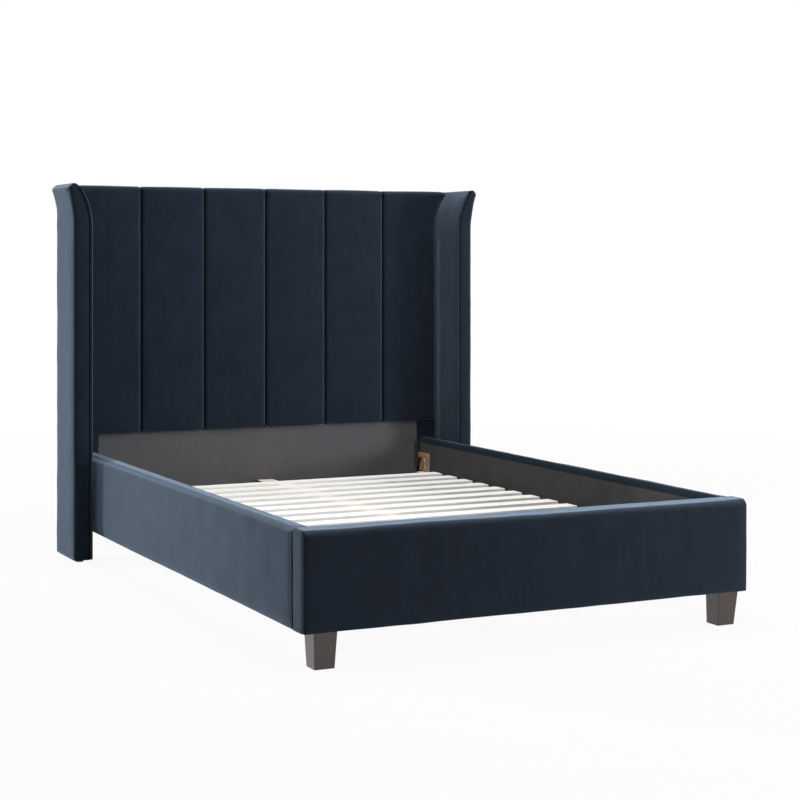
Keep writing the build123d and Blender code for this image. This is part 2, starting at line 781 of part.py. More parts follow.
with BuildPart() as headboard_glides:
    for side in (-1, 1):
        for share in wing_glide_shares:
            glide_y = wing_front + share * wing_depth
            rod((side * wing_middle, glide_y, 0), (0, 0, 1), glide_radius, headboard_lift)
headboard_glides.part.label = "headboard_glides"
export_step(headboard_glides.part, "parts/headboard_glides.step")

# Hook plates on the side rails: the hook drops through a slotted keeper plate on
# the headboard and hangs behind it
hook_plate_front = rail_head_end - hook_plate_setback - hook_plate_width
hook_plate_back = rail_head_end - hook_plate_setback
finger_front = panel_front + hook_throat_clearance
finger_back = finger_front + hook_finger_thickness

with BuildPart() as right_hook_plate:
    with BuildSketch(Plane.YZ.offset(inner_half_width - hook_thickness)) as hook_shape:
        with BuildLine():
            Polyline(
                (hook_plate_front, hook_plate_bottom),
                (hook_plate_back, hook_plate_bottom),
                (hook_plate_back - hook_throat_width, hook_seat),
                (finger_front, hook_seat),
                (finger_front, finger_bottom),
                (finger_back, finger_bottom),
                (finger_back, hook_plate_top),
                (hook_plate_front, hook_plate_top),
                close=True,
            )
        make_face()
        round_corners = hook_shape.vertices().group_by(Axis.Y)[-1] + hook_shape.vertices().group_by(Axis.Y)[0]
        fillet(round_corners, radius=hook_corner_radius)
    extrude(amount=hook_thickness)
    drill(hook_bolts)
right_hook_plate.part.label = "right_hook_plate"
export_step(right_hook_plate.part, "parts/right_hook_plate.step")

with BuildPart() as left_hook_plate:
    mirror(right_hook_plate.part, about=Plane.YZ)
left_hook_plate.part.label = "left_hook_plate"
export_step(left_hook_plate.part, "parts/left_hook_plate.step")

with BuildPart() as keeper_plates:
    with BuildSketch(Plane.XZ.offset(-panel_front)) as keeper_shape:
        rectangle((keeper_low_x, keeper_bottom), (keeper_high_x, keeper_top))
        fillet(keeper_shape.vertices(), radius=keeper_corner_radius)
        rectangle(
            (hook_centre_x - keeper_slot_half_width, hook_seat),
            (hook_centre_x + keeper_slot_half_width, slot_top),
            mode=Mode.SUBTRACT,
        )
        for point in keeper_screw_points:
            with Locations((point[0], point[2])):
                Circle(screw_radius + bolt_clearance, mode=Mode.SUBTRACT)
    extrude(amount=keeper_thickness)
    mirror(about=Plane.YZ)
keeper_plates.part.label = "keeper_plates"
export_step(keeper_plates.part, "parts/keeper_plates.step")

# Angle brackets inside the corners at the foot
with BuildPart() as right_corner_bracket:
    with BuildSketch(Plane.XY.offset(corner_bottom)) as angle_shape:
        with BuildLine():
            Polyline(
                (inner_half_width, foot_back),
                (inner_half_width, foot_back + corner_leg),
                (inner_half_width - corner_thickness, foot_back + corner_leg),
                (inner_half_width - corner_thickness, foot_back + corner_thickness),
                (inner_half_width - corner_leg, foot_back + corner_thickness),
                (inner_half_width - corner_leg, foot_back),
                close=True,
            )
        make_face()
        bend = angle_shape.vertices().sort_by_distance((inner_half_width, foot_back))[1]
        fillet(bend, radius=corner_bend_radius)
    extrude(amount=corner_height)
    drill(foot_bracket_bolts)
    for point, direction in foot_bracket_bolts:
        bore(point, tuple(-value for value in direction), bolt_hole_radius, cut_overrun)
right_corner_bracket.part.label = "right_corner_bracket"
export_step(right_corner_bracket.part, "parts/right_corner_bracket.step")

with BuildPart() as left_corner_bracket:
    mirror(right_corner_bracket.part, about=Plane.YZ)
left_corner_bracket.part.label = "left_corner_bracket"
export_step(left_corner_bracket.part, "parts/left_corner_bracket.step")

# Bolts through the brackets into the boards, and the hanger bolts of the feet
all_bracket_bolts = side_bolts + mirrored(side_bolts)

with BuildPart() as frame_bolts:
    for point, direction in all_bracket_bolts:
        bolt(point, direction, bracket_bolt_length)
    for side in (-1, 1):
        start = (side * foot_centre_x, foot_bolt_y, rail_bottom - hanger_bolt_length / 2)
        rod(start, (0, 0, 1), bolt_radius, hanger_bolt_length)
frame_bolts.part.label = "frame_bolts"
export_step(frame_bolts.part, "parts/frame_bolts.step")
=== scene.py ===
import math

import bmesh
import bpy
import numpy as np
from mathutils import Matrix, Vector


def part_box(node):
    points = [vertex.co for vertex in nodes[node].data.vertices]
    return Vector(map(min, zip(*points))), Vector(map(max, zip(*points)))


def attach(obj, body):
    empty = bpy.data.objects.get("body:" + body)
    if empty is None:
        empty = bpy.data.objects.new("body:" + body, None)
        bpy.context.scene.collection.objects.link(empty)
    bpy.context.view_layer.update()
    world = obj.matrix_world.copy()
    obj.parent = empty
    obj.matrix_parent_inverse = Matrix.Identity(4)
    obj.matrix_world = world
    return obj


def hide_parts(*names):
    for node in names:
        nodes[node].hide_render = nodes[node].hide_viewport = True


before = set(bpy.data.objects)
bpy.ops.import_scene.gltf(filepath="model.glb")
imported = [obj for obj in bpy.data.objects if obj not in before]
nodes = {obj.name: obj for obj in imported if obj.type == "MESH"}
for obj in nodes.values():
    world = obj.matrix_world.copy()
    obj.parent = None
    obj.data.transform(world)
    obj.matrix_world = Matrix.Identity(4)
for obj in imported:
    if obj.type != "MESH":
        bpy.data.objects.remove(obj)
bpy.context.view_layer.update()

# Camera: it stands in front of the foot end, a little to the left of the bed
# and about chest high. It looks level, so upright edges stay upright, and the
# lens is shifted to bring the whole bed into the square frame.
camera_data = bpy.data.cameras.new("camera")
camera_data.lens = 76.4
camera_data.sensor_width = 36.0
camera_data.shift_x = 0.1149
camera_data.shift_y = -0.1775
camera = bpy.data.objects.new("camera", camera_data)
camera.location = (-2.577, -5.102, 1.097)
camera.rotation_euler = (math.radians(90), 0, math.radians(-24.46))
bpy.context.scene.collection.objects.link(camera)
bpy.context.scene.camera = camera


# Studio: a pale floor and a white room. The camera, and what metal and lacquer
# mirror, see both as white, while the room lights the bed at a plain level, most
# from the left and from behind.
class Tone:
    """A value, colour or direction inside a finish. Sums on values add their nodes."""

    def __init__(self, recipe, socket):
        self.recipe = recipe
        self.socket = socket

    def maths(self, operation, first, second):
        return self.recipe.node("Math", {"operation": operation}, {0: first, 1: second})

    def __add__(self, other):
        return self.maths("ADD", self, other)

    __radd__ = __add__

    def __sub__(self, other):
        return self.maths("SUBTRACT", self, other)

    def __rsub__(self, other):
        return self.maths("SUBTRACT", other, self)

    def __mul__(self, other):
        return self.maths("MULTIPLY", self, other)

    __rmul__ = __mul__

    def __pow__(self, other):
        return self.maths("POWER", self, other)

    def __abs__(self):
        return self.maths("ABSOLUTE", self, 0.0)

    def at_least(self, other):
        """The larger of two values."""
        return self.maths("MAXIMUM", self, other)

    def whole(self):
        """The value rounded to the nearest whole number."""
        return self.maths("ROUND", self, 0.0)


class Recipe:
    """The nodes of one finish, each made by the same method."""

    def __init__(self, owner):
        owner.use_nodes = True
        self.owner = owner
        self.tree = owner.node_tree
        self.tree.nodes.clear()

    def node(self, kind, settings=None, inputs=None, output=None):
        """Adds a node. Its settings are set first, then its inputs get values or links."""
        made = self.tree.nodes.new("ShaderNode" + kind)
        for name, value in (settings or {}).items():
            setattr(made, name, value)
        for name, value in (inputs or {}).items():
            if isinstance(name, int):
                socket = made.inputs[name]
            else:
                socket = next(s for s in made.inputs if s.name == name and s.enabled)
            if isinstance(value, Tone):
                self.tree.links.new(value.socket, socket)
            else:
                socket.default_value = value
        outputs = [s for s in made.outputs if s.enabled and output in (None, s.name)]
        return Tone(self, outputs[0]) if outputs else None

    def place(self):
        """The point on the piece, in metres in the bed's own frame."""
        return self.node("TexCoord", output="Object")

    def along(self, axis, at=None):
        """One coordinate, "X", "Y" or "Z", of a point or direction."""
        return self.node("SeparateXYZ", {}, {"Vector": at or self.place()}, axis)

    def noise(self, scale, detail=2.0, roughness=0.5, at=None):
        """Cloudy unevenness from 0 to 1, with this many clouds in a metre."""
        inputs = {"Vector": at or self.place(), "Scale": scale, "Detail": detail, "Roughness": roughness}
        return self.node("TexNoise", {}, inputs, "Fac")

    def stretched(self, factors):
        """The point on the piece, drawn out along some directions."""
        return self.node("Mapping", {}, {"Vector": self.place(), "Scale": factors}, "Vector")

    def blend(self, share, first, second):
        """A colour between two colours."""
        inputs = {"Factor": share, "A": first, "B": second}
        return self.node("Mix", {"data_type": "RGBA"}, inputs, "Result")

    def spread(self, value, low, high):
        """Stretches a value so that low and high become 0 and 1."""
        inputs = {"Value": value, "From Min": low, "From Max": high}
        return self.node("MapRange", {"clamp": True}, inputs, "Result")

    def bump(self, height, strength, depth):
        """A surface direction that follows the given height, in metres of depth."""
        return self.node("Bump", {}, {"Strength": strength, "Distance": depth, "Height": height}, "Normal")

    def mix(self, share, first, second):
        """Two shaders mixed, all second where the share is 1."""
        return self.node("MixShader", {}, {0: share, 1: first, 2: second})

    def finished(self, shader):
        """Ends the finish with its shader and gives back the material."""
        self.node("OutputMaterial", {}, {"Surface": shader})
        return self.owner

    def surface(self, inputs):
        """A finish of one plain shader."""
        return self.finished(self.node("BsdfPrincipled", {}, inputs))


world = bpy.data.worlds.new("room")
bpy.context.scene.world = world
room = Recipe(world)
direction = room.node("TexCoord", output="Generated")
sideways = 0.33 - 0.20 * room.along("X", direction) + 0.21 * room.along("Y", direction)
above = room.along("Z", direction).at_least(0.0)
level = sideways.at_least(0.04) * (1.0 - 0.25 * above)


def shown_white(recipe):
    """1 for what the camera, a mirror or a glass sees, and 0 for light that falls on the bed."""
    shown = recipe.node("LightPath", output="Is Camera Ray")
    for ray in ("Is Glossy Ray", "Is Transmission Ray"):
        shown = shown.at_least(recipe.node("LightPath", output=ray))
    return shown


white_room = room.node("Background", {}, {"Color": (1, 1, 1, 1), "Strength": 1.0})
lit_room = room.node("Background", {}, {"Color": (0.97, 0.985, 1, 1), "Strength": level})
room.node("OutputWorld", {}, {"Surface": room.mix(shown_white(room), lit_room, white_room)})

floor_reach = 40.0
floor_mesh = bpy.data.meshes.new("floor")
floor_corners = [(-floor_reach, -floor_reach), (floor_reach, -floor_reach),
                 (floor_reach, floor_reach), (-floor_reach, floor_reach)]
floor_mesh.from_pydata([(x, y, 0) for x, y in floor_corners], [], [(0, 1, 2, 3)])
floor = bpy.data.objects.new("floor", floor_mesh)
bpy.context.scene.collection.objects.link(floor)
paint = Recipe(bpy.data.materials.new("pale_floor"))
matt = paint.node("BsdfDiffuse", {}, {"Color": (0.60, 0.60, 0.60, 1)})
glow = paint.node("Emission", {}, {"Color": (1, 1, 1, 1), "Strength": 1.0})
distance = paint.node("VectorMath", {"operation": "LENGTH"}, {0: paint.place()}, "Value")
floor_share = shown_white(paint) * (0.93 + 0.07 * paint.spread(distance, 1.6, 6.0))
floor_mesh.materials.append(paint.finished(paint.mix(floor_share, matt, glow)))


def lamp(name, place, target, size, watts):
    """A square soft lamp that looks at a point."""
    data = bpy.data.lights.new(name, "AREA")
    data.shape = "SQUARE"
    data.size = size
    data.energy = watts
    made = bpy.data.objects.new(name, data)
    made.location = place
    made.rotation_euler = (Vector(target) - Vector(place)).to_track_quat("-Z", "Y").to_euler()
    bpy.context.scene.collection.objects.link(made)


# A small lamp from behind on the left throws the wing's shadow on the left rail,
# a wide one stands to the right of the foot end, a large one hangs overhead, and
# a weak one near the floor lights the block feet.
lamp("side_lamp", (-4.2, 3.85, 1.9), (-0.7, 0.3, 0.5), 0.45, 190)
lamp("foot_lamp", (4.7, -3.1, 1.6), (0.3, 0.2, 0.5), 1.3, 210)
lamp("top_lamp", (0.4, -0.4, 4.2), (0, 0.1, 0.3), 2.4, 148)
lamp("low_lamp", (3.5, -4.7, 0.55), (0.5, -0.9, 0.15), 0.8, 32)


# Headboard frame: two stiles that the wings are bolted to, three rails between
# them and an upright, all planed softwood, with a thin board glued to the front.
def timber(name, pale, deep, along, scale=1.0, shine=0.5):
    """Planed wood whose grain runs along one direction of the bed."""
    wood = Recipe(bpy.data.materials.new(name))
    factors = [14.0 * scale] * 3
    factors[along] = 0.9 * scale
    drawn_out = wood.stretched(factors)
    grain = wood.noise(6.0, 6.0, 0.62, drawn_out)
    streaks = wood.noise(38.0, 3.0, 0.6, drawn_out)
    patches = wood.noise(3.0)
    figure = wood.spread(0.55 * grain + 0.3 * streaks + 0.15 * patches, 0.36, 0.66)
    return wood.surface({
        "Base Color": wood.blend(figure, pale, deep),
        "Roughness": 0.5 + 0.2 * streaks,
        "Specular IOR Level": shine,
        "Normal": wood.bump(figure, 0.35, 0.0006),
    })


def dress(names, material, edge=0.0):
    """Gives carried-over nodes a finish and, where asked, eased edges."""
    for name in names:
        piece = nodes[name]
        piece.data.materials.clear()
        piece.data.materials.append(material)
        if edge:
            eased = piece.modifiers.new("eased_edges", "BEVEL")
            eased.width = edge
            eased.segments = 2
            eased.limit_method = "ANGLE"
            eased.angle_limit = math.radians(40)


frame_pale = (0.72, 0.52, 0.30, 1)
frame_deep = (0.52, 0.33, 0.16, 1)
upright_wood = timber("upright_softwood", frame_pale, frame_deep, 2)
cross_wood = timber("cross_softwood", frame_pale, frame_deep, 0)
lengthwise_wood = timber("lengthwise_softwood", frame_pale, frame_deep, 1)
frame_uprights = ["headboard_left_stile", "headboard_right_stile", "headboard_upright"]
frame_rails = ["headboard_top_rail", "headboard_middle_rail", "headboard_low_rail"]
dress(frame_uprights, upright_wood, 0.001)
dress(frame_rails, cross_wood, 0.001)
board_wood = timber("thin_board", (0.62, 0.44, 0.25, 1), (0.47, 0.31, 0.16, 1), 0, 0.6)
dress(["headboard_board"], board_wood)


# Headboard pad: foam under one piece of velvet, sewn into six upright channels
# by five seams, rolled over the top of the frame and stapled to its back. It
# widens at the top, where it follows the flare of the wings.
def velvet(name, dark, light, sheen=1.0, crease=None):
    """Short-pile velvet: near black when looked at squarely, pale where it is seen at a glance."""
    cloth = Recipe(bpy.data.materials.new(name))
    brushed = cloth.noise(9.0, 4.0, 0.6)
    strokes = cloth.noise(1.0, 4.0, 0.6, cloth.stretched((34.0, 34.0, 8.0)))
    rubbed = cloth.noise(45.0, 3.0, 0.6)
    pile = cloth.noise(1400.0, 2.0, 0.7)
    shade = cloth.spread(0.28 * brushed + 0.26 * strokes + 0.28 * rubbed + 0.18 * pile, 0.38, 0.62)
    colour = cloth.blend(shade, dark, light)
    fibres = cloth.bump(0.25 * pile + 0.40 * rubbed + 0.35 * strokes, 0.6, 0.0011)

    def pile_shader(tint, weight):
        return cloth.node("BsdfPrincipled", {}, {
            "Base Color": tint,
            "Roughness": 0.82 + 0.12 * rubbed,
            "Normal": fibres,
            "Specular IOR Level": 0.12,
            "Sheen Weight": weight,
            "Sheen Roughness": 0.40,
            "Sheen Tint": (0.57, 0.75, 0.98, 1),
        })

    # The sheen weight steps with the turn of the face from the eye. The dip between turns of 0.40 and 0.52
    # is painted shade, which darkens faces seen at that angle, such as the right wing's inner face.
    turned = cloth.node("LayerWeight", {}, {"Blend": 0.5}, "Facing")
    shader = pile_shader(colour, 0.40 * sheen)
    for share, low_turn, high_turn in ((1.0, 0.06, 0.40), (0.58, 0.40, 0.52),
                                       (0.98, 0.53, 0.64), (0.34, 0.70, 0.96)):
        next_pile = pile_shader(colour, share * sheen)
        shader = cloth.mix(cloth.spread(turned, low_turn, high_turn), shader, next_pile)
    # Where a crease mask is given, a near-black pile with almost no sheen is mixed in there: painted shade
    # in the crease.
    if crease:
        pressed = pile_shader((0.0012, 0.0022, 0.0045, 1), 0.03)
        shader = cloth.mix(crease(cloth), shader, pressed)
    return cloth.finished(shader)


navy_dark, navy_light = (0.0036, 0.0072, 0.0140, 1), (0.0082, 0.0140, 0.0250, 1)
navy_velvet = velvet("navy_velvet", navy_dark, navy_light)


def ripple(points, wavelength, seed):
    """Gentle unevenness, about -1 to 1, whose waves have about the given length."""
    random = np.random.default_rng(seed)
    total = np.zeros(len(points))
    waves = 8
    for _ in range(waves):
        direction = random.normal(size=3)
        direction /= np.linalg.norm(direction)
        pitch = wavelength * random.uniform(0.7, 1.5)
        total += np.sin(points @ direction * 2 * math.pi / pitch + random.uniform(0, 2 * math.pi))
    return total / math.sqrt(waves)


def new_piece(name, points, faces, material):
    """A smooth-shaded piece whose normals point outwards."""
    mesh = bpy.data.meshes.new(name)
    mesh.from_pydata([tuple(p) for p in points], [], faces)
    shape = bmesh.new()
    shape.from_mesh(mesh)
    bmesh.ops.remove_doubles(shape, verts=shape.verts, dist=1e-6)
    bmesh.ops.recalc_face_normals(shape, faces=shape.faces)
    for face in shape.faces:
        face.smooth = True
    shape.to_mesh(mesh)
    shape.free()
    mesh.materials.append(material)
    piece = bpy.data.objects.new(name, mesh)
    bpy.context.scene.collection.objects.link(piece)
    return piece


def points_of(piece):
    """The piece's points and their outward directions."""
    count = len(piece.data.vertices)
    points = np.zeros(count * 3)
    normals = np.zeros(count * 3)
    piece.data.vertices.foreach_get("co", points)
    piece.data.vertices.foreach_get("normal", normals)
    return points.reshape(-1, 3), normals.reshape(-1, 3)


def shift_points(piece, points):
    """Writes new places for the piece's points."""
    piece.data.vertices.foreach_set("co", np.asarray(points, float).ravel())
    piece.data.update()


def settle(piece, held, reach):
    """Cloth simulation: the padding presses the velvet out between the places that hold it."""
    start, normals = points_of(piece)
    group = piece.vertex_groups.new(name="held")
    group.add([int(index) for index in np.flatnonzero(held)], 1.0, "REPLACE")
    pressed = piece.modifiers.new("padding", "CLOTH")
    pressed.settings.quality = 5
    pressed.settings.vertex_group_mass = "held"
    pressed.settings.use_pressure = True
    pressed.settings.uniform_pressure_force = 4.0
    pressed.settings.effector_weights.gravity = 0
    pressed.collision_settings.use_collision = False
    frames = 16
    pressed.point_cache.frame_start = 1
    pressed.point_cache.frame_end = frames
    for moment in range(1, frames + 1):
        bpy.context.scene.frame_set(moment)
    pressed_piece = piece.evaluated_get(bpy.context.evaluated_depsgraph_get())
    flat = np.zeros(len(start) * 3)
    pressed_piece.data.vertices.foreach_get("co", flat)
    piece.modifiers.remove(pressed)
    piece.vertex_groups.remove(group)
    bpy.context.scene.frame_set(1)
    move = flat.reshape(-1, 3) - start
    length = np.linalg.norm(move, axis=1)
    share = reach * np.tanh(length / reach) / np.maximum(length, 1e-9)
    shift_points(piece, start + move * share[:, None])


def finish_piece(piece, body, slot, *stands_for):
    """Says what the piece rides on and what it stands for. The slot is not used."""
    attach(piece, body)
    if stands_for:
        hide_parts(*stands_for)
    return piece


pad_low, pad_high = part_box("headboard_pad")
wing_low, wing_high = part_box("right_wing_cover")
straight_half_width = wing_low.x - 0.0005
flare_start, flare_radius, flare_top = 1.211, 0.2465, 1.353
seam_pitch, middle_seam = 0.2545, 0.0055
seam_places = [middle_seam + seam_pitch * k for k in (-2, -1, 0, 1, 2)]
rolled_edge, board_drop = 0.021, 0.012


def flare_out(height):
    """How far the flared line has moved outwards at a height."""
    climb = np.maximum(np.minimum(height, flare_top) - flare_start, 0)
    return flare_radius - np.sqrt(flare_radius ** 2 - climb ** 2)


def pad_columns():
    """Places across the pad, close together at the seams."""
    near, widest = (0.0, 0.0015, 0.003, 0.005, 0.008, 0.012, 0.018, 0.026, 0.038), 0.016
    edge = straight_half_width
    places = {-edge, edge}
    for seam in seam_places:
        places |= {seam + side * step for step in near for side in (-1, 1)}
    places |= {side * (edge - step) for step in near[1:] for side in (-1, 1)}
    ordered = sorted(places)
    filled = []
    for left, right in zip(ordered, ordered[1:]):
        parts = max(1, round((right - left) / widest))
        filled += [left + (right - left) * k / parts for k in range(parts)]
    return filled + [ordered[-1]]


def quarter(middle, radius, start, turns, way=1):
    """Points of a quarter circle from an angle in degrees, anticlockwise or, with -1, clockwise."""
    angles = [math.radians(start + way * 90 * k / turns) for k in range(turns + 1)]
    return [(middle[0] + radius * math.cos(a), middle[1] + radius * math.sin(a)) for a in angles]


def run(start, end, steps):
    """The points between two points of an outline, without those two."""
    return [tuple(s + (e - s) * k / steps for s, e in zip(start, end)) for k in range(1, steps)]


def pad_profile():
    """The pad's outline seen from the side: places back from the front, and heights."""
    front, back, bottom, top = pad_low.y, pad_high.y, pad_low.z, pad_high.z + 0.004
    board_front, board_top = front + 0.022, pad_high.z - board_drop
    under, over, behind, turns = 0.009, rolled_edge, 0.011, 6
    outline = [(board_front, bottom)]
    outline += quarter((front + under, bottom + under), under, 270, turns, -1)
    outline += run((front, bottom + under), (front, top - over), 96)
    outline += quarter((front + over, top - over), over, 180, turns, -1)
    outline += quarter((back - behind, top - behind), behind, 90, turns, -1)
    outline += [(back, board_top), (board_front, board_top)]
    return outline + run((board_front, board_top), (board_front, bottom), 30)


def seam_dip(across):
    """The crease and the crown of the pad's face at places across it, and how near a seam they are."""
    lines = np.array(seam_places + [-straight_half_width, straight_half_width])
    nearest = np.abs(across[:, None] - lines[None, :]).min(1)
    by_wing = np.abs(across) > straight_half_width - 0.05
    shallow, deep, full_crown = 0.0050, 0.0115, 0.0028
    crease = np.where(by_wing, shallow, deep) * np.exp(-(nearest / 0.0048) ** 1.7)
    crown = full_crown * np.exp(-(nearest / 0.035) ** 1.3)
    return crease, crown, nearest


def seam_shade_mask(cloth):
    """1 deep in a seam of the pad, where the velvet is painted near black as shade, since little light
    gets in there.
    """
    across = (cloth.along("X") - middle_seam) * (1 / seam_pitch)
    nearest = abs((across - across.whole()) * seam_pitch + 0.0010)
    among_seams = 1.0 - cloth.spread(abs(across), 2.4, 2.5)
    return (1.0 - cloth.spread(nearest, 0.0022, 0.0078)) * among_seams


# The channels' velvet carries painted shade in its seams.
pad_velvet = velvet("navy_velvet_channels_seam_shade", navy_dark, navy_light, crease=seam_shade_mask)
columns = pad_columns()
profile = pad_profile()
pad_points = [(x, y, z) for y, z in profile for x in columns]
pad_faces = []
across, around = len(columns), len(profile)
for row in range(around):
    below = (row + 1) % around
    for column in range(across - 1):
        pad_faces.append((row * across + column, row * across + column + 1,
                          below * across + column + 1, below * across + column))
for side in (0, across - 1):
    pad_faces.append([row * across + side for row in range(around)])
pad = new_piece("headboard_cushion", pad_points, pad_faces, pad_velvet)
points, normals = points_of(pad)
crease, crown, nearest = seam_dip(points[:, 0])
on_top = points[:, 2] > pad_high.z - board_drop + 0.0001
on_cloth = (points[:, 1] < pad_low.y + rolled_edge + 0.0005) | on_top
close = np.exp(-(nearest / 0.020) ** 2)
pucker = ripple(points * [0.15, 0.15, 1.0], 0.030, 3) * close * 0.0005
waver = ripple(points, 0.32, 4) * 0.0008
straight = points.copy()
dip = crease * np.where(on_top, 0.5, 1.0) + crown * np.where(on_top, 0.2, 1.0)
normals[np.abs(points[:, 0]) > straight_half_width - 0.004, 0] = 0
points += normals * np.where(on_cloth, pucker + waver - dip, 0)[:, None]
flare_zone = 0.060
widening = np.clip((np.abs(straight[:, 0]) - straight_half_width + flare_zone) / flare_zone, 0, 1) ** 1.4
points[:, 0] += np.sign(straight[:, 0]) * widening * flare_out(straight[:, 2])
shift_points(pad, points)
held = (nearest < 0.013) | (straight[:, 1] > pad_low.y + 0.0005) | (straight[:, 2] < pad_low.z + 0.012)
settle(pad, held, 0.0028)
finish_piece(pad, "root", "navy_velvet", "headboard_pad")


# Lower panel: a cloth-covered board behind the place of the mattress, with
# a narrow velvet-covered border at each side. The cloth is pulled tight over
# the edges, which leaves short folds in the corners.
def stations(low, high, low_radius, high_radius, spacing):
    """Places along one side of a soft block, closer together round its edges."""
    steps = 5
    turn = [math.tan(math.radians(45) * k / steps) for k in range(steps + 1)]
    first = [low + low_radius * (1 - t) for t in reversed(turn)]
    last = [high - high_radius * (1 - t) for t in turn]
    span = last[0] - first[-1]
    count = max(1, round(span / spacing))
    middle = [first[-1] + span * k / count for k in range(1, count)]
    return first + middle + last


def soft_block(name, low, high, radii, spacing, material):
    """A block with rounded edges: radii holds the low and high radius of each direction."""
    lines = [stations(low[a], high[a], radii[a][0], radii[a][1], spacing[a]) for a in range(3)]
    inner_low = np.array([low[a] + radii[a][0] for a in range(3)])
    inner_high = np.array([high[a] - radii[a][1] for a in range(3)])
    points, faces, known = [], [], {}

    def corner(spot):
        key = tuple(round(value, 7) for value in spot)
        if key not in known:
            known[key] = len(points)
            flat = np.array(spot)
            core = np.clip(flat, inner_low, inner_high)
            reach = np.where(flat > inner_high, [r[1] for r in radii], [r[0] for r in radii])
            share = (flat - core) / reach
            length = np.linalg.norm(share)
            points.append(core + reach * share / max(length, 1e-9))
        return known[key]

    for axis in range(3):
        others = [a for a in range(3) if a != axis]
        for level in (low[axis], high[axis]):
            for u0, u1 in zip(lines[others[0]], lines[others[0]][1:]):
                for v0, v1 in zip(lines[others[1]], lines[others[1]][1:]):
                    quad = []
                    for u, v in ((u0, v0), (u1, v0), (u1, v1), (u0, v1)):
                        spot = [0, 0, 0]
                        spot[axis], spot[others[0]], spot[others[1]] = level, u, v
                        quad.append(corner(spot))
                    faces.append(quad)
    return new_piece(name, points, faces, material)


def weave(name, dark, light, thread):
    """Plain woven cloth with threads of the given width in metres."""
    cloth = Recipe(bpy.data.materials.new(name))
    warp, weft = (cloth.node("TexWave", {"bands_direction": way}, {
        "Vector": cloth.place(), "Scale": 1 / thread / 6.3, "Distortion": 0.6, "Detail": 1.0,
    }, "Fac") for way in ("X", "Z"))
    slubs = cloth.noise(60.0, 4.0, 0.65)
    patches = cloth.noise(4.0, 3.0)
    shade = cloth.spread(0.22 * warp + 0.22 * weft + 0.3 * slubs + 0.26 * patches, 0.3, 0.7)
    return cloth.surface({
        "Base Color": cloth.blend(shade, dark, light),
        "Roughness": 0.9,
        "Normal": cloth.bump(0.5 * warp + 0.5 * weft, 0.3, 0.0003),
        "Specular IOR Level": 0.2,
        "Sheen Weight": 0.12,
        "Sheen Roughness": 0.5,
    })


grey_cloth = weave("grey_panel_cloth", (0.058, 0.056, 0.062, 1), (0.094, 0.092, 0.101, 1), 0.0011)
panel_low, panel_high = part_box("headboard_lower_panel")
panel = soft_block("panel_cover", panel_low, panel_high,
                   [(0.003, 0.003), (0.003, 0.0005), (0.003, 0.004)], (0.02, 0.01, 0.012), grey_cloth)
points, normals = points_of(panel)
to_corner = np.hypot(points[:, 0] - np.sign(points[:, 0]) * panel_high.x, points[:, 2] - panel_high.z)
slant = np.abs(points[:, 0]) * 0.75 + points[:, 2] * 0.65
folds = np.sin(slant * 2 * math.pi / 0.034) * np.exp(-(to_corner / 0.075) ** 2) * 0.0010
on_face = points[:, 1] < panel_low.y + 0.006
unevenness = (folds + 0.0006 * ripple(points, 0.25, 11) - 0.0008) * on_face
shift_points(panel, points + normals * unevenness[:, None])
finish_piece(panel, "root", "grey_panel_cloth", "headboard_lower_panel")

for side, name in ((1, "right"), (-1, "left")):
    border = soft_block(name + "_border_cover", *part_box(name + "_side_border"),
                        [(0.004, 0.004), (0.004, 0.0005), (0.003, 0.003)],
                        (0.012, 0.01, 0.016), navy_velvet)
    points, normals = points_of(border)
    shift_points(border, points + normals * (0.0005 * ripple(points, 0.09, 12) - 0.0005)[:, None])
    finish_piece(border, "root", "navy_velvet", name + "_side_border")


# Back cloth: thin black dust cloth over the open frame, folded in at its edge
# and stapled to the stiles and rails all round.
def dust_cloth(name):
    """Black non-woven cloth, pressed in a pattern of small dots."""
    cloth = Recipe(bpy.data.materials.new(name))
    spots = {"Vector": cloth.place(), "Scale": 520.0, "Randomness": 0.25}
    dots = cloth.node("TexVoronoi", {}, spots, "Distance")
    fibres = cloth.noise(240.0, 4.0, 0.7)
    return cloth.surface({
        "Base Color": cloth.blend(fibres, (0.012, 0.012, 0.013, 1), (0.040, 0.040, 0.042, 1)),
        "Roughness": 0.85,
        "Normal": cloth.bump(0.7 * dots + 0.3 * fibres, 0.5, 0.0004),
        "Specular IOR Level": 0.3,
    })


black_dust_cloth = dust_cloth("black_dust_cloth")
cloth_low, cloth_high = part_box("headboard_back_cloth")
dust_size = (cloth_high.x - cloth_low.x, cloth_high.z - cloth_low.z)
dust_columns, dust_rows = 110, 90
dust_points, dust_faces = [], []
for row in range(dust_rows + 1):
    for column in range(dust_columns + 1):
        dust_points.append((cloth_low.x + dust_size[0] * column / dust_columns, cloth_high.y - 0.0006,
                            cloth_low.z + dust_size[1] * row / dust_rows))
for row in range(dust_rows):
    for column in range(dust_columns):
        start = row * (dust_columns + 1) + column
        dust_faces.append((start, start + 1, start + dust_columns + 2, start + dust_columns + 1))
back_cloth = new_piece("back_dust_cloth", dust_points, dust_faces, black_dust_cloth)
points = points_of(back_cloth)[0]
from_side = np.minimum(points[:, 0] - cloth_low.x, cloth_high.x - points[:, 0])
from_end = np.minimum(points[:, 2] - cloth_low.z, cloth_high.z - points[:, 2])
from_rim, staple_pitch = 0.007, 0.06
rim_left, rim_right = cloth_low.x + from_rim, cloth_high.x - from_rim
rim_low, rim_high = cloth_low.z + from_rim, cloth_high.z - from_rim
across_count = round((rim_right - rim_left) / staple_pitch)
upright_count = round((rim_high - rim_low) / staple_pitch)
